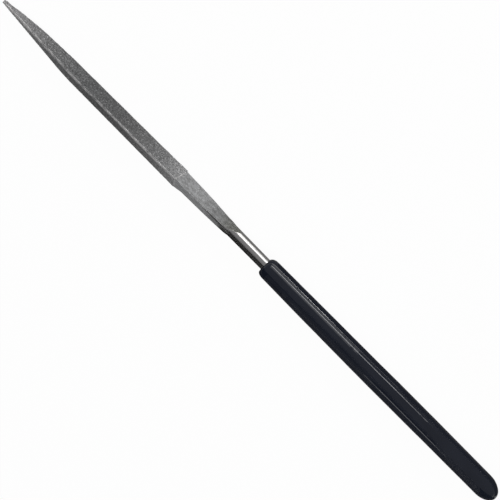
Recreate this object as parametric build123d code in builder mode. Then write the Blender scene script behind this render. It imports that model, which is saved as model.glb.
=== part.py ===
"""Triangular needle file with a diamond-grit blade and a dipped grip, 140 mm long.

One steel blank runs the whole length: a round wire inside the grip, a short bare shank,
a neck where the round turns into a triangle, and a tapered three-cornered blade.
A thin plated shell of diamond grit wraps the blade, and a soft sleeve is dipped onto the wire.
Millimetres. +X points from the butt to the tip, +Z is up, and the blade has a flat below and
a ridge on top. The origin is under the middle of the file, on the surface that it lies on.
"""

import os
from math import cos, radians, sin, tan

from build123d import *

os.makedirs("parts", exist_ok=True)

# Lengths of the main stretches
overall_length = 140.0
coated_length = 50.0
grip_length = 65.65

# Round wire, which grows slightly from the grip to the neck
wire_radius = 1.285
shank_front_radius = 1.33
tang_chamfer = 0.3
tang_end_cover = 2.0

# Blade: distances of its finished flats from the wire's axis.
# One flat is set deep, close to the axis, and passes it at the tip. The other two are alike.
deep_at_shoulder = 0.86
deep_after_swell = 0.69
deep_at_middle = 0.42
deep_at_bend = 0.425
deep_at_nose = 0.12
deep_at_tip = -0.22
outer_at_shoulder = 1.545
outer_along_blade = 1.50
outer_at_tip = 0.47

# Blade: lengths over which the flats draw in, and how softly they bend there
swell_length = 7.0
middle_from_tip = 22.0
deep_taper_length = 9.6
nose_length = 4.0
outer_taper_length = 19.0
deep_bend_radius = 50.0
outer_bend_radius = 90.0

# Shell of nickel and grit
grit_thickness = 0.10
ridge_round = 0.09

# Neck: the deep flat sinks into the wire, and the outer flats start where the corners rise.
# Where a length is measured from the shoulder, it goes towards the grip.
deep_behind_coat = 0.665
coat_step_length = 0.8
deep_at_waist = 0.57
deep_waist_from_shoulder = 13.6
outer_at_waist = 1.335
outer_waist_from_shoulder = 14.7
runout_angle = 15.0
runout_bend_radius = 6.0

# Neck: the three corners rise out of the round shank and flare at the shoulder
corner_start_from_shoulder = 14.8
corner_step_length = 1.1
corner_step_radius = 1.53
corner_middle_from_shoulder = 8.0
corner_middle_radius = 1.96
corner_flare_from_shoulder = 2.1
corner_flare_radius = 2.2

# Dipped grip, fullest in the middle
grip_radius = 2.42
grip_front_radius = 2.27
grip_rear_radius = 2.36
grip_front_taper = 26.0
grip_rear_taper = 12.0
lip_round = 0.85
butt_round_length = 3.8

# How far cutting shapes reach past the surfaces that they make
overrun = 0.5

# Where the flats face, in degrees round the wire's axis from +Y towards +Z
deep_flat_angle = 150.0
outer_flat_angles = (30.0, 270.0)

# Places along the file and round the wire that follow from the sizes above
tip_x = overall_length / 2
butt_x = -overall_length / 2
shoulder_x = tip_x - coated_length
corner_start_x = shoulder_x - corner_start_from_shoulder
grip_front_x = butt_x + grip_length
tang_end_x = butt_x + tang_end_cover
axis_height = grip_radius
ridge_radius = 2 * outer_at_shoulder
cut_reach = ridge_radius + overrun
wire_axis = Axis((0, 0, axis_height), (1, 0, 0))


def flat_plane(angle):
    """Plane through the wire's axis: x along the file, y out of the flat that faces angle."""
    sideways = (0, -sin(radians(angle)), cos(radians(angle)))
    return Plane(origin=(0, 0, axis_height), x_dir=(1, 0, 0), z_dir=sideways)


def deep_blade(skin):
    """Line of the deep flat from tip to shoulder, this far below the finished surface."""
    return [
        (tip_x - skin, deep_at_tip - skin),
        (tip_x - nose_length, deep_at_nose - skin),
        (tip_x - deep_taper_length, deep_at_bend - skin),
        (tip_x - middle_from_tip, deep_at_middle - skin),
        (shoulder_x + swell_length, deep_after_swell - skin),
        (shoulder_x, deep_at_shoulder - skin),
    ]


def outer_blade(skin):
    """Line of an outer flat from tip to shoulder, this far below the finished surface."""
    return [
        (tip_x - skin, outer_at_tip - skin),
        (tip_x - outer_taper_length, outer_along_blade - skin),
        (shoulder_x + swell_length, outer_along_blade - skin),
        (shoulder_x, outer_at_shoulder - skin),
    ]


def blade_bends(deep_line, outer_line):
    """Inner points of the deep and the outer line, which are all rounded, each with its radius."""
    deep_bends = [(point, deep_bend_radius) for point in deep_line[1:-1]]
    return deep_bends, [(point, outer_bend_radius) for point in outer_line[1:-1]]


def runout(waist_from_shoulder, depth):
    """A flat's end on the neck: its foot at the waist, its way out of the steel, the butt."""
    foot_x = shoulder_x - waist_from_shoulder
    rise_length = (cut_reach - depth) / tan(radians(runout_angle))
    return [(foot_x, depth), (foot_x - rise_length, cut_reach), (tang_end_x, cut_reach)]


def keep_inside_flat(angle, line, bends):
    """Cut the part to one flat. bends pairs a point of the line with its bend's radius."""
    far_side = [(line[-1][0], -cut_reach), (line[0][0], -cut_reach)]
    with BuildSketch(flat_plane(angle)) as profile:
        with BuildLine():
            Polyline(*line, *far_side, close=True)
        make_face()
        for point, bend_radius in bends:
            fillet(vertices().sort_by_distance((*point, 0))[0], bend_radius)
    extrude(profile.sketch, amount=cut_reach, both=True, mode=Mode.INTERSECT)


def turned_outline(points):
    """Points given as (x, radius), set at the height of the wire's axis."""
    return [(x, axis_height + radius) for x, radius in points]


# Steel blank: the turned outline of the wire, neck and blade, then the three flats
steel_outline = [
    (tang_end_x, 0),
    (tang_end_x, wire_radius - tang_chamfer),
    (tang_end_x + tang_chamfer, wire_radius),
    (grip_front_x, wire_radius),
    (corner_start_x, shank_front_radius),
    (corner_start_x + corner_step_length, corner_step_radius),
    (shoulder_x - corner_middle_from_shoulder, corner_middle_radius),
    (shoulder_x - corner_flare_from_shoulder, corner_flare_radius),
    (shoulder_x, ridge_radius),
    (tip_x, ridge_radius),
    (tip_x, 0),
]
deep_foot, *deep_exit = runout(deep_waist_from_shoulder, deep_at_waist)
coat_step = (shoulder_x - coat_step_length, deep_behind_coat)
outer_neck = runout(outer_waist_from_shoulder, outer_at_waist)
deep_steel = deep_blade(grit_thickness)
outer_steel = outer_blade(grit_thickness)
with BuildPart() as steel_blank:
    with BuildSketch(Plane.XZ):
        with BuildLine():
            Polyline(*turned_outline(steel_outline), close=True)
        make_face()
    revolve(axis=wire_axis)
    deep_bends, outer_bends = blade_bends(deep_steel, outer_steel)
    deep_bends.append((deep_foot, runout_bend_radius))
    deep_line = [*deep_steel, coat_step, deep_foot, *deep_exit]
    keep_inside_flat(deep_flat_angle, deep_line, deep_bends)
    for angle in outer_flat_angles:
        keep_inside_flat(angle, [*outer_steel, *outer_neck], outer_bends)
steel_blank.part.label = "steel_blank"
export_step(steel_blank.part, "parts/steel_blank.step")

# Grit shell: the finished blade with softened ridges, less the steel inside it
deep_finish = deep_blade(0)
outer_finish = outer_blade(0)
with BuildPart() as diamond_coating:
    with BuildSketch(Plane(origin=(shoulder_x, 0, axis_height), z_dir=(1, 0, 0))):
        Circle(cut_reach)
    extrude(amount=coated_length)
    deep_bends, outer_bends = blade_bends(deep_finish, outer_finish)
    keep_inside_flat(deep_flat_angle, deep_finish, deep_bends)
    for angle in outer_flat_angles:
        keep_inside_flat(angle, outer_finish, outer_bends)
    ridges = edges().filter_by(lambda edge: abs((edge @ 1 - edge @ 0).X) > ridge_round)
    fillet(ridges, ridge_round)
    add(steel_blank.part, mode=Mode.SUBTRACT)
diamond_coating.part.label = "diamond_coating"
export_step(diamond_coating.part, "parts/diamond_coating.step")

# Dipped grip: a turned sleeve closed at the butt, with the wire's own shape as its bore
butt_round_x = butt_x + butt_round_length
lip_corner = (grip_front_x, grip_front_radius)
grip_outline = [
    lip_corner,
    (grip_front_x - grip_front_taper, grip_radius),
    (butt_round_x + grip_rear_taper, grip_radius),
    (butt_round_x, grip_rear_radius),
]
with BuildPart() as grip:
    with BuildSketch(Plane.XZ):
        with BuildLine():
            EllipticalCenterArc(
                (butt_round_x, axis_height),
                butt_round_length,
                grip_rear_radius,
                start_angle=90,
                arc_size=90,
            )
            Polyline((butt_x, axis_height), (grip_front_x, axis_height), *turned_outline(grip_outline))
        make_face()
        lip = vertices().sort_by_distance((grip_front_x, axis_height + grip_front_radius))[0]
        fillet(lip, lip_round)
    revolve(axis=wire_axis)
    add(steel_blank.part, mode=Mode.SUBTRACT)
grip.part.label = "grip"
export_step(grip.part, "parts/grip.step")

for piece in (steel_blank, diamond_coating, grip):
    box = piece.part.bounding_box()
    print(piece.part.label, "volume", round(piece.part.volume, 3), "low", box.min, "high", box.max)
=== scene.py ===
# %% [markdown]
# # A triangular diamond file
# The tool is 140 mm long. One nickel-plated steel wire is forged and ground into a
# three-cornered blade, a plated shell of diamond grit wraps the blade, and the other end is
# dipped into liquid vinyl for a grip. This lesson starts from the measured solids and builds
# the three visible pieces over them: the steel, the grit and the grip.

from math import cos, pi, radians, sin, sqrt, tan

import bpy
import numpy as np
from mathutils import Matrix, Vector


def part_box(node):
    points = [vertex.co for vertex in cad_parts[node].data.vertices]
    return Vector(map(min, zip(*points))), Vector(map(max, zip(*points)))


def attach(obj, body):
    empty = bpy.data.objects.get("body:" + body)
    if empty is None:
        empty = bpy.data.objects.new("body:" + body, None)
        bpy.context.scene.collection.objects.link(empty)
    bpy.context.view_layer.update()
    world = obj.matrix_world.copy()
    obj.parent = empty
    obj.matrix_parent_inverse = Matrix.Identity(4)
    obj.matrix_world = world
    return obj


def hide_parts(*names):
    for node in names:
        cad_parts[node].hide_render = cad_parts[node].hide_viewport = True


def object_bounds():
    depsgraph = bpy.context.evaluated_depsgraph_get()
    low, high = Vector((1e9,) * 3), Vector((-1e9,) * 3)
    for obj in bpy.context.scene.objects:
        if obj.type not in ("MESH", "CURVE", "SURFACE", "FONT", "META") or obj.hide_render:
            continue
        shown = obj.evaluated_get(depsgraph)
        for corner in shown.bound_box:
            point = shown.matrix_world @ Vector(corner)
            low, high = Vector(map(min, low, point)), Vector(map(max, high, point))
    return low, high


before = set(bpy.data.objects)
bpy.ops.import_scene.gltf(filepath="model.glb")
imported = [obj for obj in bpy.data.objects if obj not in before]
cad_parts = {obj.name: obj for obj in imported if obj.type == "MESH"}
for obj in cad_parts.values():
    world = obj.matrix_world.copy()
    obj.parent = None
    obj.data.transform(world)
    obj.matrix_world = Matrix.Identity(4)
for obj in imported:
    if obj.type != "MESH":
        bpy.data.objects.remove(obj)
solid_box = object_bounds()
MM = 0.001


def in_mm(box):
    """The numbers of a box's two corners in millimetres."""
    return [round(value / MM, 3) for corner in box for value in corner]


print("solids:", sorted(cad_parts), "box in mm:", in_mm(solid_box))

# %% [markdown]
# ## Sizes
# The sizes repeat those of the solids, in millimetres. The file lies along X with its tip
# towards +X. The wire's axis is the line from which every flat of the blade is measured, and
# an angle says where a flat faces, from +Y towards +Z. Measured so, one helper can make
# every flat, whichever way it faces.

# %% Sizes and places shared by all pieces
tip_x, butt_x, shoulder_x = 70.0, -70.0, 20.0
axis_height = 2.42
wire_radius = 1.285
tang_chamfer = 0.3
tang_end_x = -68.0
grip_front_x = -4.35
deep_angle, outer_angles = 150.0, (30.0, 270.0)
cut_reach = 3.6

# The wire's axis as a direction and as its point over the middle of the file
along_file = Vector((1, 0, 0))
wire_axis = Vector((0, 0, axis_height))


def across(angle):
    """Unit vector out of a flat that faces this way, and the one along its width."""
    turn = radians(angle)
    return Vector((0, cos(turn), sin(turn))), Vector((0, -sin(turn), cos(turn)))


def at_flat(x, depth, angle):
    """Point in metres, at x along the file and depth from the wire's axis."""
    return (Vector((x, 0, axis_height)) + across(angle)[0] * depth) * MM


print("blade flats face", deep_angle, *outer_angles, "degrees")

# %% [markdown]
# ## How an outline is drawn
# Round pieces and flat-sided ones both start from an outline in a plane along the file. By
# hand, one would add a plane, merge it into a single vertex and extrude that vertex from
# corner to corner. The helper does the same, and puts every corner at its exact place.

# %% Helper for drawing outlines
def pick_only(piece):
    """Deselect everything, then make one object active and selected."""
    if bpy.context.object and bpy.context.object.mode != "OBJECT":
        bpy.ops.object.mode_set(mode="OBJECT")
    bpy.ops.object.select_all(action="DESELECT")
    piece.select_set(True)
    bpy.context.view_layer.objects.active = piece


def draw_outline(name, points):
    """A new mesh in edit mode: one vertex extruded from point to point, points in metres."""
    bpy.ops.object.select_all(action="DESELECT")
    bpy.ops.mesh.primitive_plane_add(size=MM, location=points[0])
    piece = bpy.context.object
    piece.name = piece.data.name = name
    bpy.ops.object.transform_apply(location=True, rotation=True, scale=True)
    bpy.ops.object.mode_set(mode="EDIT")
    bpy.ops.mesh.select_mode(type="VERT")
    bpy.ops.mesh.select_all(action="SELECT")
    bpy.ops.mesh.merge(type="CENTER")
    for start, end in zip(points, points[1:]):
        bpy.ops.mesh.extrude_region_move(TRANSFORM_OT_translate={"value": Vector(end) - Vector(start)})
    bpy.ops.mesh.select_all(action="SELECT")
    return piece


print("outline helper ready")

# %% [markdown]
# The wire and the grip are round, so their outlines are spun about the wire's axis, as on a
# lathe. A cylinder with loop cuts would do as well, but an outline shows its radii at a
# glance. Modifiers are applied at once, so each step of a piece starts from a plain mesh.

# %% Helpers for turning and for modifiers
lathe_steps = 96
merge_gap = 1e-6


def turn_on_lathe(name, outline):
    """Spin an outline of (x, radius) round the wire's axis and close it."""
    piece = draw_outline(name, [at_flat(x, radius, 90) for x, radius in outline])
    bpy.ops.mesh.spin(steps=lathe_steps, angle=2 * pi, center=(0, 0, axis_height * MM), axis=along_file)
    bpy.ops.mesh.select_all(action="SELECT")
    bpy.ops.mesh.remove_doubles(threshold=merge_gap)
    bpy.ops.mesh.normals_make_consistent(inside=False)
    bpy.ops.object.mode_set(mode="OBJECT")
    return piece


def use_modifier(piece, kind, **settings):
    """Add one modifier with its settings and apply it."""
    pick_only(piece)
    bpy.ops.object.modifier_add(type=kind)
    modifier = piece.modifiers[-1]
    for key, value in settings.items():
        setattr(modifier, key, value)
    bpy.ops.object.modifier_apply(modifier=modifier.name)


print("lathe of", lathe_steps, "steps ready, vertices closer than", merge_gap / MM, "mm are merged")

# %% [markdown]
# ## Flats
# A grinder gives the blade and neck their three flats: everything outside a flat goes. One
# could push vertices of a round bar onto planes, but the ends of the flats would come out
# ragged. Here each flat is a long block whose upper side follows the flat's line from tip to
# butt, and a Boolean keeps only what lies inside all three. One flat sits deep, close to the
# wire's axis. The other two are alike.

# %% Lines of the flats, from tip to butt, as (x, distance from the axis)
deep_line = [(tip_x, -0.22), (66, 0.12), (60.4, 0.425), (48, 0.42), (27, 0.69), (shoulder_x, 0.86)]
outer_line = [(tip_x, 0.47), (51, 1.50), (27, 1.50), (shoulder_x, 1.545)]

# On the neck a flat runs on to its waist, and from there leaves the steel at 15 degrees
deep_neck = [(19.2, 0.665), (6.4, 0.57), (-4.908, cut_reach), (tang_end_x, cut_reach)]
outer_neck = [(5.3, 1.335), (-3.153, cut_reach), (tang_end_x, cut_reach)]

# Where a line is softly bent: its point's place in the line, and how far the rounding reaches
deep_bends, outer_bends = {2: 1.5, 1: 0.6}, {1: 2.4}
waist_bend = {7: 1.6}
print("points in the flats' lines:", len(deep_line + deep_neck), "and", len(outer_line + outer_neck))

# %% Helpers for blocks and grinding
bend_steps = 12


def flat_block(name, line, angle, bends):
    """Block under one flat, its line rounded at the bends."""
    sideways = across(angle)[1]
    far_side = [(line[-1][0], -cut_reach), (line[0][0], -cut_reach)]
    block = draw_outline(name, [at_flat(x, depth, angle) for x, depth in [*line, *far_side]])
    bpy.ops.mesh.edge_face_add()
    bpy.ops.object.mode_set(mode="OBJECT")
    for place, reach in bends.items():
        target = at_flat(*line[place], angle)
        near = min(block.data.vertices, key=lambda v: (v.co - target).length)
        for item in (*block.data.vertices, *block.data.edges, *block.data.polygons):
            item.select = False
        near.select = True
        bpy.ops.object.mode_set(mode="EDIT")
        bpy.ops.mesh.select_mode(type="VERT")
        bpy.ops.mesh.bevel(offset=reach * MM, segments=bend_steps, affect="VERTICES")
        bpy.ops.object.mode_set(mode="OBJECT")
    bpy.ops.object.mode_set(mode="EDIT")
    bpy.ops.mesh.select_all(action="SELECT")
    bpy.ops.transform.translate(value=sideways * -cut_reach * MM)
    bpy.ops.mesh.extrude_region_move(TRANSFORM_OT_translate={"value": sideways * 2 * cut_reach * MM})
    bpy.ops.mesh.select_all(action="SELECT")
    bpy.ops.mesh.normals_make_consistent(inside=False)
    bpy.ops.object.mode_set(mode="OBJECT")
    return block


def grind(piece, deep, outer, bends):
    """Keep what lies inside the deep flat, whose bends are given, and both outer flats."""
    blocks = [flat_block("deep_block", deep, deep_angle, bends)]
    blocks += [flat_block("outer_block", outer, angle, outer_bends) for angle in outer_angles]
    for block in blocks:
        use_modifier(piece, "BOOLEAN", operation="INTERSECT", object=block, solver="EXACT")
        bpy.data.objects.remove(block)
    print(piece.name, "ground:", len(piece.data.polygons), "faces")


print("each bend of a flat has", bend_steps, "steps")

# %% [markdown]
# ## Steel blank
# The wire runs the whole length: the tang inside the grip, a bare round shank, the neck
# where three corners rise out of the round, and the core of the blade. It is one forging, so
# it is one mesh. It is turned first, with the step and flare of the neck's corners, and then
# ground to its flats, as the real wire is round before it gets them.

# %% Steel blank: the turned wire
blade_reach = 3.09
tang = [
    (tang_end_x, 0),
    (tang_end_x, wire_radius - tang_chamfer),
    (tang_end_x + tang_chamfer, wire_radius),
    (grip_front_x, wire_radius),
]
neck_corners = [(5.2, 1.33), (6.3, 1.53), (12.0, 1.96), (17.9, 2.20)]
blade = [(shoulder_x, blade_reach), (tip_x, blade_reach), (tip_x, 0)]
steel_outline = [*tang, *neck_corners, *blade]
forged_blank = turn_on_lathe("forged_blank", steel_outline)
print("turned wire:", len(forged_blank.data.polygons), "faces")

# %% Steel blank: grinding
grit_thickness, core_depth = 0.10, 0.16
edge_break = 0.05
edge_angle, smooth_angle = 28, 20


def under_grit(line):
    """The line of the steel well below the grit, which meets the neck at the shoulder."""
    (_, tip_depth), *inner, (end_x, end_depth) = [(x, depth - core_depth) for x, depth in line]
    return [(tip_x - core_depth, tip_depth), *inner, (end_x, end_depth + core_depth - grit_thickness)]


grind(
    forged_blank,
    [*under_grit(deep_line), *deep_neck],
    [*under_grit(outer_line), *outer_neck],
    {**waist_bend, **deep_bends},
)
use_modifier(
    forged_blank,
    "BEVEL",
    width=edge_break * MM,
    segments=2,
    limit_method="ANGLE",
    angle_limit=radians(edge_angle),
)
pick_only(forged_blank)
bpy.ops.object.shade_smooth_by_angle(angle=radians(smooth_angle))
print("steel blank:", len(forged_blank.data.vertices), "vertices")

# %% [markdown]
# A flat ends in a crisp line on the round steel. Smooth shading would blur that line,
# because the two sides meet at a small angle. So each face is sorted by its place, on a flat
# or on the round, and the edges between the two kinds are marked sharp. The same list later
# tells which faces are matt.

# %% Steel blank: flats and round
# A face lies on a flat if its middle is this far inside the turned outline
flat_depth = 0.02
turned_x, turned_radius = zip(*steel_outline[2:-1])
on_flat = []
kinds_at_edge = {}
for face in forged_blank.data.polygons:
    middle = face.center / MM - wire_axis
    sunk = np.interp(middle.x, turned_x, turned_radius) - sqrt(middle.y**2 + middle.z**2)
    on_flat.append(bool(middle.x > 0 and sunk > flat_depth))
    for key in face.edge_keys:
        kinds_at_edge.setdefault(key, set()).add(on_flat[-1])
for edge in forged_blank.data.edges:
    if len(kinds_at_edge[edge.key]) == 2:
        edge.use_edge_sharp = True
use_modifier(forged_blank, "WEIGHTED_NORMAL", weight=50, keep_sharp=True)
print("steel blank:", sum(on_flat), "faces on its flats,", len(on_flat) - sum(on_flat), "on the round")

# %% [markdown]
# ## Grit layer
# Diamond grains stand in a thin plated shell of nickel round the blade. One could scatter
# thousands of grains, but plated over they are only bumps, so one dense skin with relief
# shows the same with far fewer faces. The skin starts as a block ground to the finished
# blade, a little fuller than measured, because the remesh below rounds its ridges off. It is
# trimmed at the shoulder along a slightly slanted plane, the level of the plating bath.

# %% Grit layer: the blade's outside
# The block reaches 0.2 mm past both ends of the coated length
block_middle, block_length = 45, 50.4
deep_growth, outer_growth = 0.03, 0.05
past_shoulder = 0.5


def swollen(line, growth):
    """The line a little further out, and on past the shoulder."""
    (tip, tip_depth), *inner, (end, end_depth) = line
    inner = [(x, depth + growth) for x, depth in inner]
    return [(tip, tip_depth + growth / 2), *inner, (end, end_depth), (end - past_shoulder, end_depth)]


bpy.ops.object.select_all(action="DESELECT")
bpy.ops.mesh.primitive_cube_add(size=1, location=(block_middle * MM, 0, axis_height * MM))
grit_layer = bpy.context.object
grit_layer.name = grit_layer.data.name = "grit_layer"
grit_layer.scale = (block_length * MM, 2 * cut_reach * MM, 2 * cut_reach * MM)
bpy.ops.object.transform_apply(location=True, rotation=True, scale=True)
grind(grit_layer, swollen(deep_line, deep_growth), swollen(outer_line, outer_growth), deep_bends)

# %% Grit layer: its slanted end
coat_end_low = Vector((19.65, 0, 0.9)) * MM
coat_end_slant = Vector((1, 0, -0.2)).normalized()
pick_only(grit_layer)
bpy.ops.object.mode_set(mode="EDIT")
bpy.ops.mesh.select_all(action="SELECT")
bpy.ops.mesh.bisect(plane_co=coat_end_low, plane_no=coat_end_slant, use_fill=True, clear_inner=True)
bpy.ops.object.mode_set(mode="OBJECT")
print("grit layer trimmed:", len(grit_layer.data.polygons), "faces")

# %% [markdown]
# Grains can't stand on a sharp ridge, so the coat is blunt there, most of all on the top
# ridge. The ridges are bevelled, a voxel remesh gives the whole skin small even faces for
# the relief, and a weld removes the slivers that the remesh leaves.

# %% Grit layer: blunt ridges and an even skin
long_edge = 0.05
top_ridge_width, low_ridge_width = 0.22, 0.10

# The top ridge lies beyond the first of these along Y, the low ones beyond the second
top_ridge_limit, low_ridge_limit = -0.2, 0.4

# Size of the skin's faces, and of the gaps that the weld closes
skin_cell, sliver_gap = 0.1, 0.04


def soften_ridges(piece, wanted, width):
    """Bevel the edges along the file whose middle, measured from the axis, this test wants."""
    pick_only(piece)
    bpy.ops.object.mode_set(mode="EDIT")
    bpy.ops.mesh.select_all(action="DESELECT")
    bpy.ops.mesh.select_mode(type="EDGE")
    bpy.ops.object.mode_set(mode="OBJECT")
    for edge in piece.data.edges:
        ends = [piece.data.vertices[i].co / MM - wire_axis for i in edge.vertices]
        edge.select = abs(ends[0].x - ends[1].x) > long_edge and wanted((ends[0] + ends[1]) / 2)
    bpy.ops.object.mode_set(mode="EDIT")
    bpy.ops.mesh.bevel(offset=width * MM, segments=4, affect="EDGES", clamp_overlap=False)
    bpy.ops.object.mode_set(mode="OBJECT")


soften_ridges(grit_layer, lambda middle: middle.z > 0 and middle.y > top_ridge_limit, top_ridge_width)
soften_ridges(grit_layer, lambda middle: middle.z < 0 and abs(middle.y) > low_ridge_limit, low_ridge_width)
use_modifier(grit_layer, "REMESH", mode="VOXEL", voxel_size=skin_cell * MM, adaptivity=0)
use_modifier(grit_layer, "WELD", merge_threshold=sliver_gap * MM)
print("grit layer:", len(grit_layer.data.polygons), "faces after the remesh")

# %% [markdown]
# Four displacements make the relief. Slow waves are uneven plating. The cells of a Voronoi
# texture, a quarter of a millimetre wide and proudest in their middles, are the grains. At
# the shoulder two more raise a bead, because plating builds up at an edge, and push it to
# and fro, because no bath stops at a straight line. A bump in the material alone would leave
# the blade's outline and its mesh smooth.

# %% Helpers for the relief
def relief_texture(name, kind, size):
    """A procedural texture for a Displace modifier."""
    texture = bpy.data.textures.new(name, kind)
    texture.noise_scale = size * MM
    return texture


def weigh(piece, name, weights):
    """Vertex group with one weight for each vertex, without the smallest."""
    group = piece.vertex_groups.new(name=name)
    for index in np.nonzero(weights > 0.01)[0]:
        group.add([int(index)], float(weights[index]), "REPLACE")


def places(piece):
    """All vertex places in millimetres, measured from the wire's axis."""
    return np.array([v.co for v in piece.data.vertices]) / MM - [0, 0, axis_height]


def inside_rim(spots):
    """How far each place lies from the coat's slanted end, in millimetres towards the tip."""
    return (spots - np.array(coat_end_low) / MM + [0, 0, axis_height]) @ np.array(coat_end_slant)


grain_texture = relief_texture("grain_cells", "VORONOI", 0.25)
plating_texture = relief_texture("uneven_plating", "CLOUDS", 0.9)
rim_texture = relief_texture("ragged_rim", "CLOUDS", 0.6)
print("relief textures:", [texture.name for texture in bpy.data.textures])

# %% Grit layer: relief
plating_rise, grain_sink, rim_rise, rim_wander = 0.03, -0.07, 0.14, 0.35
rim_width = 0.22
weigh(grit_layer, "rim", np.exp(-((inside_rim(places(grit_layer)) / rim_width) ** 2)))
for settings in (
    {"texture": plating_texture, "strength": plating_rise * MM, "mid_level": 0.5},
    {"texture": grain_texture, "strength": grain_sink * MM, "mid_level": 0.35},
    {"texture": rim_texture, "strength": rim_rise * MM, "mid_level": 0.15, "vertex_group": "rim"},
    {
        "texture": rim_texture,
        "strength": rim_wander * MM,
        "mid_level": 0.5,
        "vertex_group": "rim",
        "direction": "X",
    },
):
    use_modifier(grit_layer, "DISPLACE", **settings)
print("relief up to", max(plating_rise, -grain_sink, rim_rise), "mm high")

# %% [markdown]
# Nothing may stand further out than the measured solid, except that the rim may wander onto
# the neck. So the highest grains are pressed back to the solid's box.

# %% Grit layer: kept inside the solid's box
rim_room = 1
coat_low, coat_high = (np.array(corner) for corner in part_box("diamond_coating"))
coat_low[0] -= rim_room * MM
for vertex in grit_layer.data.vertices:
    vertex.co = np.clip(vertex.co, coat_low, coat_high)
pick_only(grit_layer)
bpy.ops.object.shade_smooth()
print("grit layer's box in mm:", in_mm((coat_low, coat_high)))

# %% [markdown]
# The ridges carry the work of filing, so their grains wear bright first, and the same bright
# tone also paints the ridges' highlight. Wear could be painted by hand, but on a ridge two
# flats are near at once, and that is easy to work out. Each point of the skin gets an
# attribute that is highest on a ridge, where 1 or more is fully worn, and falls to 0 a little
# way down the flats. It reaches furthest down the flat on the +Y side, as painted light on
# the shaded side of the top ridge, varies along the blade to paint the highlight brighter in
# places, and is full at the rim, where the bright line is partly a painted highlight.

# %% Grit layer: attribute of wear and painted highlight
# How far from the deep, the side and the lower flat the wear and painted highlight reach, then their
# softness
wear_and_highlight_widths = np.array([[0.6], [0.2], [0.1]])
wear_and_highlight_plateau, side_blend, other_flats = 1.5, 0.15, 0.4

# How strong the wear and painted highlight are along the blade and at the rim
wear_and_highlight_x = [21, 25, 32, 40, 48, 56, 62, 67]
wear_and_highlight_strength = [1.0, 1.9, 2.3, 1.1, 0.9, 1.1, 2.1, 1.6]
rim_plateau, rim_wear_and_highlight_width = 1.3, 0.25

spots = places(grit_layer)
gaps = []
for line, angle in ((deep_line, deep_angle), *((outer_line, a) for a in outer_angles)):
    line_x, depths = zip(*reversed(line))
    outward = np.array(across(angle)[0])
    gaps.append(np.maximum(np.interp(spots[:, 0], line_x, depths) - spots @ outward, 0))
deep_gap, side_gap, _ = gaps
second_gap = np.sort(np.array(gaps) / wear_and_highlight_widths, axis=0)[1]
on_side = np.clip(0.5 + (deep_gap - side_gap) / side_blend, 0, 1)
wear_and_highlight = np.clip(wear_and_highlight_plateau - second_gap, 0, 1) * (other_flats + (1 - other_flats) * on_side)
wear_and_highlight *= np.interp(spots[:, 0], wear_and_highlight_x, wear_and_highlight_strength)
wear_and_highlight = np.maximum(wear_and_highlight, np.clip(rim_plateau - inside_rim(spots) / rim_wear_and_highlight_width, 0, 1))
# One attribute carries both the ridges' wear and their painted highlight
ridge_wear_and_highlight = grit_layer.data.attributes.new("ridge_wear_and_highlight", "FLOAT", "POINT")
ridge_wear_and_highlight.data.foreach_set("value", wear_and_highlight.astype(np.float32))
print("ridge wear covers", round(float((wear_and_highlight > 0.5).mean()), 3), "of the grit")

# %% [markdown]
# ## Dipped grip
# The wire is dipped butt first into liquid vinyl and hung up to cure. The skin is fullest in
# the middle, closes in a blunt round butt, and ends in a soft lip with a thin collar that
# creeps a hair's breadth up the shank. It could be a tapered cylinder with bevelled ends,
# but it is soft at both ends, so it is turned from arcs, with the wire's bore inside.

# %% Dipped grip: turned outline
butt_round_length, butt_round = 3.8, 2.36
butt_round_x = butt_x + butt_round_length
lip_radius, lip_length, lip_depth = 2.27, 1.4, 0.72
lip_x = grip_front_x - lip_length
grip_radius = 2.42
collar_radius, collar_creep = 1.40, 0.03


def quarter_turn(step):
    """Angles in radians from 0 to a right angle, so many degrees apart."""
    return [radians(degrees) for degrees in range(0, 91, step)]


butt_arc = [
    (butt_round_x - butt_round_length * cos(turn), butt_round * sin(turn)) for turn in quarter_turn(6)
]
body_x = [butt_round_x, -54.2, -30.35, grip_front_x]
body_radius = [butt_round, grip_radius, grip_radius, lip_radius]
body_line = [
    (float(x), float(np.interp(x, body_x, body_radius)))
    for x in np.linspace(butt_round_x, lip_x, 240)[1:-1]
]
lip_arc = [
    (lip_x + lip_length * sin(turn), lip_radius - lip_depth * (1 - cos(turn))) for turn in quarter_turn(9)
]
collar = [(grip_front_x, collar_radius), (grip_front_x + collar_creep, wire_radius)]
bore = [
    (tang_end_x + tang_chamfer, wire_radius),
    (tang_end_x, wire_radius - tang_chamfer),
    (tang_end_x, 0),
]
dipped_grip = turn_on_lathe("dipped_grip", [*butt_arc, *body_line, *lip_arc, *collar, *bore])
print("turned grip:", len(dipped_grip.data.vertices), "vertices")

# %% [markdown]
# The wire is never quite in the middle of its dip. At the lip the skin hangs a little
# towards +Y, and at the butt towards -Y and down. It is also fuller on one side or the other
# along the way, and the lip slants. All of this is less than 0.2 mm. A lattice could bend
# the whole piece, but the bore has to stay on the wire, so a vertex moves in full only if
# it lies half a millimetre or more outside the wire.

# %% Dipped grip: drift off the wire
# At each x: how far the skin drifts, and how much fuller it is towards +Y and -Y
skin_x = [butt_x, -66.0, -54.0, -40.0, -34.0, -14.0, grip_front_x]
skin_drift_y = [-0.03, -0.07, 0.0, 0.04, 0.055, 0.12, 0.15]
skin_drift_z = [-0.03, -0.05, 0.0, 0.0, 0.0, 0.0, 0.0]
skin_fuller_plus = [0.0, -0.03, -0.08, 0.03, 0.06, 0.06, 0.0]
skin_fuller_minus = [0.0, 0.13, 0.16, 0.10, 0.0, 0.0, 0.0]
bore_blend = 0.5

# Towards -Y the skin is fuller only this far off the wire's axis and beyond
minus_start = 0.9
minus_reach = grip_radius - minus_start
lip_slant, slanted_length, slant_foot = 0.035, 2, 2.4

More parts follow.
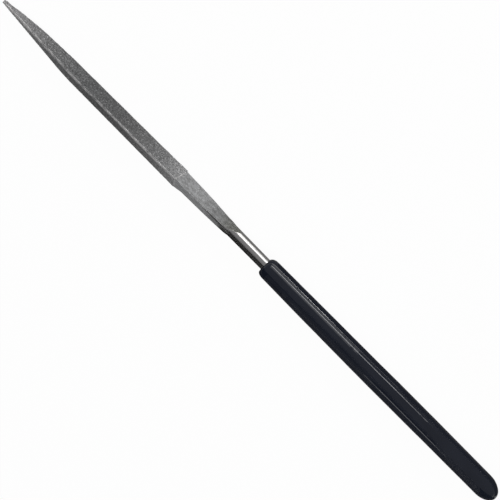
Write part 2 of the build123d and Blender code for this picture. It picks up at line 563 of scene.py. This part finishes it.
for vertex in dipped_grip.data.vertices:
    spot = vertex.co / MM - wire_axis
    outside = np.clip((sqrt(spot.y**2 + spot.z**2) - wire_radius) / bore_blend, 0, 1)
    outside = 1.0 if spot.x < tang_end_x else float(outside)
    drift_y, drift_z, plus, minus = (
        float(np.interp(spot.x, skin_x, row))
        for row in (skin_drift_y, skin_drift_z, skin_fuller_plus, skin_fuller_minus)
    )
    plus = plus * max(spot.y, 0) / grip_radius
    minus = minus * (max(-minus_start - spot.y, 0) / minus_reach) ** 2
    vertex.co.y += outside * (drift_y + (plus - minus)) * MM
    vertex.co.z += outside * drift_z * MM
    if spot.x > grip_front_x - slanted_length:
        vertex.co.x += outside * (spot.y - slant_foot) * lip_slant * MM
print("skin drifts by up to", max(skin_drift_y), "mm at the lip")

# %% [markdown]
# Vinyl that cures hanging is smooth but never true: its reflections waver. Two faint cloud
# textures displace the skin, long waves and short ones, and whatever would leave the
# measured solids' box is pressed back into it.

# %% Dipped grip: waves
vinyl_waves = ((9.0, 0.05), (2.4, 0.014))
lip_smooth_angle = 40
for size, depth in vinyl_waves:
    waves = relief_texture("vinyl_waves", "CLOUDS", size)
    use_modifier(dipped_grip, "DISPLACE", texture=waves, strength=depth * MM, mid_level=0.45)
for vertex in dipped_grip.data.vertices:
    vertex.co = np.clip(vertex.co, *solid_box)
pick_only(dipped_grip)
bpy.ops.object.shade_smooth_by_angle(angle=radians(lip_smooth_angle))
print("grip waves in mm, length and height:", *vinyl_waves)

# %% [markdown]
# ## Materials
# Every finish is a Principled shader fed by procedural noise. Pictures would need files and
# a UV map, while noise in Object coordinates fits any shape. Its unit is the metre, so a
# feature one millimetre wide has a texture scale of 1000. The helpers add a few nodes each
# and give back the socket that the next one reads.

# %% Helpers for materials
def new_material(name, **inputs):
    """A material with a Principled shader; inputs by name, with _ for a space."""
    material = bpy.data.materials.new(name)
    material.use_nodes = True
    tree = material.node_tree
    shader = tree.nodes["Principled BSDF"]
    for key, value in inputs.items():
        shader.inputs[key.replace("_", " ")].default_value = value
    return material, tree.nodes, tree.links, shader


def add_node(nodes, kind, inputs=None, **settings):
    """Add one node with its settings and input values."""
    node = nodes.new(kind)
    for key, value in settings.items():
        setattr(node, key, value)
    for key, value in (inputs or {}).items():
        node.inputs[key].default_value = value
    return node


def object_place(nodes):
    """Places in Object coordinates."""
    return add_node(nodes, "ShaderNodeTexCoord").outputs["Object"]


def stretched_noise(nodes, links, stretch, scale, detail=4.0):
    """Noise in Object coordinates, stretched by three factors, at this scale."""
    mapping = add_node(nodes, "ShaderNodeMapping", {"Scale": stretch})
    noise = add_node(nodes, "ShaderNodeTexNoise", {"Scale": scale, "Detail": detail})
    links.new(object_place(nodes), mapping.inputs["Vector"])
    links.new(mapping.outputs["Vector"], noise.inputs["Vector"])
    return noise.outputs["Fac"]


def along_the_file(nodes, links, start, end):
    """0 to 1 along the file, from start to end in millimetres."""
    split = add_node(nodes, "ShaderNodeSeparateXYZ")
    share = add_node(nodes, "ShaderNodeMapRange", {"From Min": start * MM, "From Max": end * MM})
    links.new(object_place(nodes), split.inputs["Vector"])
    links.new(split.outputs["X"], share.inputs["Value"])
    return share.outputs["Result"]


print("material helpers ready: noise and place")

# %% Helpers for tones and bumps
# A Mix node has sockets for each kind of value. These are the places of its colour sockets
mix_first, mix_second, mix_result = 6, 7, 2


def ramp(nodes, links, source, stops):
    """Colour ramp from (place, colour) stops, fed by source."""
    node = add_node(nodes, "ShaderNodeValToRGB")
    elements = node.color_ramp.elements
    while len(elements) < len(stops):
        elements.new(0.5)
    for element, (place, colour) in zip(elements, stops):
        element.position = place
        element.color = (*colour, 1)
    links.new(source, node.inputs["Fac"])
    return node.outputs["Color"]


def value_range(nodes, links, source, low, high):
    """Map a 0 to 1 source on a range."""
    node = add_node(nodes, "ShaderNodeMapRange", {"To Min": low, "To Max": high})
    links.new(source, node.inputs["Value"])
    return node.outputs["Result"]


def combine(nodes, links, operation, first, second, clamp=False):
    """A Math node on two values; the second is a socket or a number."""
    node = add_node(nodes, "ShaderNodeMath", operation=operation, use_clamp=clamp)
    links.new(first, node.inputs[0])
    if isinstance(second, float):
        node.inputs[1].default_value = second
    else:
        links.new(second, node.inputs[1])
    return node.outputs["Value"]


def add_bump(nodes, links, shader, source, distance, strength):
    """Bump the shader by a height source."""
    bump = add_node(nodes, "ShaderNodeBump", {"Distance": distance, "Strength": strength})
    links.new(source, bump.inputs["Height"])
    links.new(bump.outputs["Normal"], shader.inputs["Normal"])


def grey(value, tint=(1.0, 1.0, 1.0)):
    """A grey of this brightness with a slight tint."""
    return tuple(value * share for share in tint)


print("material helpers ready: tones and bumps")

# %% [markdown]
# The bare wire is bright nickel plate over drawn steel: nearly a mirror, with faint lines
# along its length from the drawing die. Noise stretched some thirty times along it gives
# the lines. It drives tone, gloss and bump together, as one scratch does.

# %% Bright nickel
warm_tint = (1, 0.985, 0.96)
bright_nickel, nodes, links, shader = new_material("bright_nickel", Metallic=1.0)
draw_lines = stretched_noise(nodes, links, (0.03, 1, 1), 9000)
tone = ramp(nodes, links, draw_lines, [(0.3, grey(0.55, warm_tint)), (0.7, grey(0.61, warm_tint))])
links.new(tone, shader.inputs["Base Color"])
links.new(value_range(nodes, links, draw_lines, 0.08, 0.20), shader.inputs["Roughness"])
add_bump(nodes, links, shader, draw_lines, 0.004 * MM, 0.3)
print(bright_nickel.name, "has", len(nodes), "nodes")

# %% [markdown]
# The forged flats of the neck are plated too, but the forging left them matt and cloudy:
# patches about a millimetre wide differ in tone and gloss. Where the flats run out into the
# shank, on the slope that tilts towards the tip, a darker, slightly yellow painted shade
# lies. A single noise can't tell one end from the other, so a ramp along the file is
# multiplied over the patches.

# %% Matt forged nickel
# Painted shade where the flats run out, darker and slightly yellow towards the shank
runout_shade_start, runout_shade_end = 3, 13
forged_nickel, nodes, links, shader = new_material("forged_nickel", Metallic=1.0)
patches = stretched_noise(nodes, links, (0.7, 1, 1), 1500, 5.0)
tone_stops = [(0.32, grey(0.50, (1, 1, 0.995))), (0.68, grey(0.83, (0.99, 1, 1.005)))]
runout_shade_stops = [
    (0.0, (0.52, 0.52, 0.46)),
    (0.3, (0.54, 0.54, 0.50)),
    (0.62, (0.77, 0.77, 0.765)),
    (1.0, (1, 1, 1)),
]
runout_shade = ramp(nodes, links, along_the_file(nodes, links, runout_shade_start, runout_shade_end), runout_shade_stops)
runout_shaded = add_node(nodes, "ShaderNodeMix", {"Factor": 1.0}, data_type="RGBA", blend_type="MULTIPLY")
links.new(ramp(nodes, links, patches, tone_stops), runout_shaded.inputs[mix_first])
links.new(runout_shade, runout_shaded.inputs[mix_second])
links.new(runout_shaded.outputs[mix_result], shader.inputs["Base Color"])
links.new(value_range(nodes, links, patches, 0.36, 0.52), shader.inputs["Roughness"])
fine_grain = stretched_noise(nodes, links, (0.6, 1, 1), 9000, 6.0)
add_bump(nodes, links, shader, fine_grain, 0.012 * MM, 0.5)
print(forged_nickel.name, "has", len(nodes), "nodes")

# %% [markdown]
# The grit is dark nickel full of grains. Its tone drifts along the blade: paler at the tip
# and near the shoulder, darkest in the middle, partly wear and partly painted light where
# the taper turns the flats towards the lamps. One noise for all of this would look like
# stone, so three patterns are multiplied: the drift, a mottling, and the single grains, of
# which a few are painted bright as glints.

# %% Diamond grit: drift with painted light, mottling, grains and painted glints
diamond_grit, nodes, links, shader = new_material("diamond_grit", Metallic=0.7)
# Paler ends and a darker middle: partly wear, partly painted light
drift_and_light_stops = [
    (0.00, grey(0.48)),
    (0.12, grey(0.29)),
    (0.30, grey(0.195)),
    (0.50, grey(0.19, (0.99, 1.0, 1.005))),
    (0.72, grey(0.255)),
    (0.86, grey(0.37, (1.01, 1.0, 1.0))),
    (1.00, grey(0.46, (1.02, 1.0, 1.0))),
]
blade_tone_and_light = ramp(nodes, links, along_the_file(nodes, links, shoulder_x, tip_x), drift_and_light_stops)
mottle = stretched_noise(nodes, links, (1, 1, 1), 2600, 3.0)
mottle_gain = value_range(nodes, links, mottle, 0.15, 1.75)
grains = add_node(nodes, "ShaderNodeTexVoronoi", {"Scale": 7500.0, "Randomness": 1.0})
grain_cells = add_node(nodes, "ShaderNodeSeparateColor")
links.new(object_place(nodes), grains.inputs["Vector"])
links.new(grains.outputs["Color"], grain_cells.inputs["Color"])
# The brightest few grain cells are painted glints
grain_and_glint_stops = [(0.0, grey(0.22)), (0.9, grey(0.42)), (0.955, grey(0.5)), (1.0, grey(1.0))]
grain_and_glint_gain = ramp(nodes, links, grain_cells.outputs["Red"], grain_and_glint_stops)
full_gain = 3.0
gain = combine(nodes, links, "MULTIPLY", mottle_gain, grain_and_glint_gain)
gain = combine(nodes, links, "MULTIPLY", gain, full_gain)
mottled = add_node(nodes, "ShaderNodeVectorMath", operation="SCALE")
links.new(blade_tone_and_light, mottled.inputs[0])
links.new(gain, mottled.inputs["Scale"])
print(diamond_grit.name, "has", len(nodes), "nodes before its wear")

# %% [markdown]
# Where the ridges are worn, and where their highlight is painted, the dark tone gives way to
# bare bright grains, in a line that a noise breaks here and there. The mesh's attribute of
# wear and painted highlight says where.

# %% Diamond grit: wear, painted highlight and bump
wear_and_highlight_value = add_node(nodes, "ShaderNodeAttribute", attribute_name="ridge_wear_and_highlight")
breaks = stretched_noise(nodes, links, (0.5, 1, 1), 1600, 3.0)
kept = value_range(nodes, links, breaks, -0.9, 2.2)
wear_and_highlight_left = combine(nodes, links, "MULTIPLY", wear_and_highlight_value.outputs["Fac"], kept, clamp=True)
# Bright worn grains, which also paint the ridges' highlight
worn_and_highlit_stops = [(0.0, (0.58, 0.57, 0.56)), (1.0, (0.95, 0.94, 0.93))]
worn_and_highlit_tone = ramp(nodes, links, grain_cells.outputs["Green"], worn_and_highlit_stops)
worn_and_highlit = add_node(nodes, "ShaderNodeMix", data_type="RGBA")
links.new(wear_and_highlight_left, worn_and_highlit.inputs["Factor"])
links.new(mottled.outputs["Vector"], worn_and_highlit.inputs[mix_first])
links.new(worn_and_highlit_tone, worn_and_highlit.inputs[mix_second])
links.new(worn_and_highlit.outputs[mix_result], shader.inputs["Base Color"])
links.new(value_range(nodes, links, wear_and_highlight_left, 0.6, 0.4), shader.inputs["Roughness"])
grain_height = value_range(nodes, links, grains.outputs["Distance"], 1.0, 0.0)
add_bump(nodes, links, shader, grain_height, 0.03 * MM, 0.7)
print(diamond_grit.name, "has", len(nodes), "nodes")

# %% [markdown]
# The grip is near-black navy vinyl. It cured smooth, so it reflects the lamps as thin lines,
# broken a little by a faint orange peel. A dull dark base under a clear coat gives deep
# colour and crisp lines at once, which one gloss for the whole shader can't.

# %% Dipped vinyl
dipped_vinyl, nodes, links, shader = new_material(
    "dipped_vinyl",
    IOR=1.5,
    Roughness=0.6,
    Specular_IOR_Level=0.0,
    Coat_Weight=1.0,
    Coat_IOR=1.5,
    Coat_Roughness=0.045,
)
clouds = stretched_noise(nodes, links, (0.3, 1, 1), 500, 3.0)
navy_stops = [(0.3, (0.0065, 0.0085, 0.0150)), (0.7, (0.0095, 0.0120, 0.0200))]
links.new(ramp(nodes, links, clouds, navy_stops), shader.inputs["Base Color"])
orange_peel = stretched_noise(nodes, links, (0.5, 1, 1), 1500, 2.0)
add_bump(nodes, links, shader, orange_peel, 0.02 * MM, 0.15)
print(dipped_vinyl.name, "has", len(nodes), "nodes")

# %% [markdown]
# The flats of the neck get the matt finish and everything else on the steel stays bright.
# Both are on one mesh, so each face carries the number of its material.

# %% Give each face its material
forged_blank.data.materials.append(bright_nickel)
forged_blank.data.materials.append(forged_nickel)
for face, matt in zip(forged_blank.data.polygons, on_flat):
    face.material_index = int(matt)
grit_layer.data.materials.append(diamond_grit)
dipped_grip.data.materials.append(dipped_vinyl)
pieces = (forged_blank, grit_layer, dipped_grip)
print("finishes:", [slot.name for piece in pieces for slot in piece.material_slots])

# %% [markdown]
# ## Joining the pieces to the frame
# Nothing on this file moves. Each new piece stands for one measured solid, which it hides,
# and rides on the only body there is.

# %% Ride and replace
for piece, node, slot in (
    (forged_blank, "steel_blank", "nickel_plated_steel"),
    (grit_layer, "diamond_coating", "diamond_grit"),
    (dipped_grip, "grip", "vinyl_grip"),
):
    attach(piece, "root")
    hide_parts(node)
    print(piece.name, "stands for", node)

# %% [markdown]
# ## Camera
# The photograph looks almost straight down, twelve degrees off the vertical, through a long
# lens, with the file running from the upper left to the lower right corner. Turning a camera
# by angles until it fits takes many tries, so its right and up directions are written down
# and made into its matrix.

# %% Camera
lean = radians(12.3)

# How far the picture's right and up directions run along the file and across it
slope_along, slope_across = 0.70164, 0.71253
distance, frame_width, sensor_width = 1200.0, 100.05, 36
aim_along, aim_sideways = -0.1, 0.16

towards_camera = Vector((0, -sin(lean), cos(lean)))
sideways = Vector((0, cos(lean), sin(lean)))
right = along_file * -slope_along + sideways * -slope_across
up = along_file * slope_across + sideways * -slope_along
target = Vector((aim_along, 0, axis_height)) + sideways * aim_sideways
camera_data = bpy.data.cameras.new("camera")
camera_data.sensor_width = sensor_width
camera_data.lens = camera_data.sensor_width * distance / frame_width
camera = bpy.data.objects.new("camera", camera_data)
bpy.context.scene.collection.objects.link(camera)
turn = Matrix((right, up, towards_camera)).transposed().to_4x4()
camera.matrix_world = Matrix.Translation((target + towards_camera * distance) * MM) @ turn
bpy.context.scene.camera = camera
print("lens", round(camera_data.lens, 1), "mm")

# %% [markdown]
# ## Floor
# The file lies on a white sweep, a wide floor that curves up into a wall. Here it is a disc
# whose rim is extruded upwards three times. A plain plane would end in a visible horizon
# when the file is seen from the side.

# %% Floor: the sweep
floor_radius = 2.4
sweep_steps = ((0.06, 1.10), (0.14, 1.06), (0.25, 1.02))
bpy.ops.object.select_all(action="DESELECT")
bpy.ops.mesh.primitive_circle_add(vertices=96, radius=floor_radius, fill_type="NGON", location=(0, 0, 0))
floor = bpy.context.object
floor.name = "floor"
bpy.ops.object.mode_set(mode="EDIT")
bpy.ops.mesh.select_all(action="SELECT")
for rise, growth in sweep_steps:
    bpy.ops.mesh.extrude_region_move(TRANSFORM_OT_translate={"value": (0, 0, rise)})
    bpy.ops.transform.resize(value=(growth, growth, 1))
bpy.ops.mesh.delete(type="ONLY_FACE")
bpy.ops.object.mode_set(mode="OBJECT")
print("floor", round(floor.dimensions.x, 2), "m across")

# %% [markdown]
# A lit white floor is never an even white. So the camera and the reflections see mostly a
# plain white glow, and a small share of diffuse white keeps the file's shadow.

# %% Floor: white
white_share = 0.95
white_sweep, nodes, links, shader = new_material(
    "white_sweep", Base_Color=(0.9, 0.9, 0.9, 1), Roughness=0.9, Specular_IOR_Level=0.0
)
plain_white = add_node(nodes, "ShaderNodeEmission", {"Color": (1, 1, 1, 1), "Strength": 1.0})
rays = add_node(nodes, "ShaderNodeLightPath").outputs
seen = combine(nodes, links, "MAXIMUM", rays["Is Camera Ray"], rays["Is Glossy Ray"])
seen = combine(nodes, links, "MAXIMUM", seen, rays["Is Transmission Ray"])
blend = add_node(nodes, "ShaderNodeMixShader")
links.new(combine(nodes, links, "MULTIPLY", seen, white_share), blend.inputs["Fac"])
links.new(shader.outputs["BSDF"], blend.inputs[1])
links.new(plain_white.outputs["Emission"], blend.inputs[2])
links.new(blend.outputs["Shader"], nodes["Material Output"].inputs["Surface"])
floor.data.materials.append(white_sweep)
print(white_sweep.name, "has", len(nodes), "nodes")

# %% [markdown]
# ## Light
# One long soft box lights the file from the side that the deep flat faces, and gives the
# shank its bright band. On a round surface a lamp shows as a line along the file, at the
# height that its angle gives, so each lamp is placed by its angle round the file. Point
# lamps would show as dots.

# %% Soft box
def aim_lamp(name, angle, along, reach, width, height, radiance):
    """Area lamp across the file at this angle from +Y towards +Z, aimed at its axis."""
    outward = across(angle)[0]
    lamp = bpy.data.lights.new(name, "AREA")
    lamp.shape = "RECTANGLE"
    lamp.size, lamp.size_y = width * MM, height * MM
    lamp.energy = radiance * pi * lamp.size * lamp.size_y
    shown = bpy.data.objects.new(name, lamp)
    shown.visible_camera = False
    bpy.context.scene.collection.objects.link(shown)
    place = Vector((along, 0, axis_height)) + outward * reach
    turn = Matrix((along_file, outward.cross(along_file), outward)).transposed().to_4x4()
    shown.matrix_world = Matrix.Translation(place * MM) @ turn
    return shown


lamp_reach, box_start, box_width = 400.0, -33.0, 210.0
box_angle, box_half_angle = 153.5, 25.5
box_middle = box_start + box_width / 2
box_height = 2 * lamp_reach * tan(radians(box_half_angle))
aim_lamp("soft_box", box_angle, box_middle, lamp_reach, box_width, box_height, 1.0)
print("soft box", round(box_width), "by", round(box_height), "mm")

# %% [markdown]
# Thin bright tubes draw the lines on the grip. The high one stands in front of the soft box
# and lights everything. The others light the grip alone, through light linking, so that the
# metal isn't changed by them. Each tube comes twice, and the second is longer and a little
# behind, so its line fades in two steps at the end and doesn't stop at once. A wide dim
# panel fills the grip's far side.

# %% Tubes
grip_only = bpy.data.collections.new("grip_only")
grip_only.objects.link(dipped_grip)


def light_grip_alone(lamp):
    """Let this lamp shine on the grip and on nothing else."""
    lamp.light_linking.receiver_collection = grip_only


# How much longer than planned, and how far behind its place, each set of tubes is. A lamp's
# numbers are its angle, middle, reach, width, height and radiance
for longer, behind in ((0, 0), (12, 3)):
    high_middle, high_width = box_middle - 20 - longer / 3, box_width + longer / 1.5
    low_middle, low_width = box_middle - 4 - longer / 2, box_width + longer
    aim_lamp("tube_high", 147.5, high_middle, 360 + behind, high_width, 26, 4.35)
    for tube in (
        ("tube_low", 178.6, low_middle, 300 + behind, low_width, 12, 2.4),
        ("tube_low_bright", 178.6, -17.5, 306 + behind, 12 + longer / 2, 12, 9.0),
        ("tube_far_side", 36, -58, 290 + behind, 20 + longer, 34, 1.25),
    ):
        light_grip_alone(aim_lamp(*tube))
light_grip_alone(aim_lamp("grip_fill", 32, -22, 285, 46, 240, 0.1))
print("lamps with the tubes:", len(bpy.data.lights))

# %% [markdown]
# A lamp beyond each end lifts the light to a plain level. Both are hidden from reflections,
# so that they don't show as spots in the grip's ends and in the wavy vinyl.

# %% Lamps beyond the ends
end_lamp_size, end_lamp_power = 0.5, 4.0
end_lamp_out, end_lamp_up = 0.75, 0.9


def aim_end_lamp(name, side):
    """Soft lamp beyond one end of the file, 50 degrees up, aimed at its middle."""
    lamp = bpy.data.lights.new(name, "AREA")
    lamp.shape = "SQUARE"
    lamp.size = end_lamp_size
    lamp.energy = end_lamp_power
    shown = bpy.data.objects.new(name, lamp)
    shown.visible_camera = False
    shown.visible_glossy = False
    bpy.context.scene.collection.objects.link(shown)
    shown.location = (side * end_lamp_out, 0, end_lamp_up)
    shown.rotation_euler = Vector(shown.location).to_track_quat("Z", "Y").to_euler()


aim_end_lamp("lamp_beyond_tip", 1)
aim_end_lamp("lamp_beyond_butt", -1)

# %% [markdown]
# ## Cards
# A polished rod looks like metal only if it has something dark to reflect, so photographers
# stand cards beside it. Grey cards stand on the far side, and one low card on the near side.
# They change tone along the file, dark for the shank and paler for the grip. All show in
# reflections alone: the camera sees the white sweep through them.

# %% Upright cards
card_reach, card_length = 320.0, 1200.0
low_top, card_top, upper_top, highest_top = 180.0, 600.0, 1000.0, 1800.0
board_level, wall_top = 0.2, 70.0


def add_card(name, corners, brightness):
    """A rectangle that only reflections see, with one plain grey."""
    card = draw_outline(name, [Vector(corner) * MM for corner in corners])
    bpy.ops.mesh.edge_face_add()
    bpy.ops.object.mode_set(mode="OBJECT")
    colour = (*grey(brightness), 1)
    material, *_ = new_material(name, Base_Color=colour, Roughness=1.0, Specular_IOR_Level=0.0)
    card.data.materials.append(material)
    card.visible_camera = False
    card.visible_shadow = False
    card.visible_diffuse = False


# Name, start and end along the file, side (1 is towards +Y), foot, top, brightness
cards = (
    ("black_card", -12.0, card_length, 1, board_level, card_top, 0.03),
    ("dark_card", -78.0, -12.0, 1, board_level, low_top, 0.20),
    ("high_card", -78.0, -12.0, 1, low_top, card_top, 0.07),
    ("upper_card", -92.0, -15.0, 1, card_top, upper_top, 0.24),
    ("top_card", -115.0, -20.0, 1, upper_top, highest_top, 0.45),
    ("rear_card", -125.0, -78.0, 1, board_level, card_top, 0.36),
    ("end_card", -card_length, -125.0, 1, board_level, card_top, 0.07),
    ("dim_card", -card_length, -6.0, -1, board_level, wall_top, 0.28),
)
for name, start, end, side, foot, top, brightness in cards:
    y = side * card_reach
    add_card(name, [(start, y, foot), (end, y, foot), (end, y, top), (start, y, top)], brightness)
print(len(cards), "upright cards")

# %% [markdown]
# The undersides of the shank and grip reflect the table. Boards that lie just above the
# floor stand for it, on both sides, and leave the file's own place white. Their greys are
# painted shade of the table near the file, which only reflections see.

# %% Boards on the table
board_start, grip_start, neck_start = 1.0, -6.0, 7.5

# Name, start and end along the file, side (1 is towards +Y), brightness
boards = (
    ("shade_board", -card_length, grip_start, 1, 0.13),
    ("black_board", grip_start, neck_start, 1, 0.03),
    ("pale_board", neck_start, card_length, 1, 0.38),
    ("dim_board", -card_length, grip_start, -1, 0.12),
    ("grey_board", grip_start, card_length, -1, 0.3),
)
for name, start, end, side, brightness in boards:
    near, far = side * board_start, side * card_reach
    corners = [(start, near), (end, near), (end, far), (start, far)]
    add_card(name, [(*corner, board_level) for corner in corners], brightness)
print(len(boards), "boards")

# %% [markdown]
# The world is plain grey: it fills what the lamps leave and gives the top of the shank its
# middle tone. The Standard view keeps the tones as they are, as a product photograph does.

# %% World and colour
world_grey = (0.29, 0.29, 0.30, 1)
world = bpy.data.worlds.new("plain_grey")
world.use_nodes = True
world.node_tree.nodes["Background"].inputs["Color"].default_value = world_grey
bpy.context.scene.world = world
bpy.context.scene.view_settings.view_transform = "Standard"
print("world", world_grey[:3])
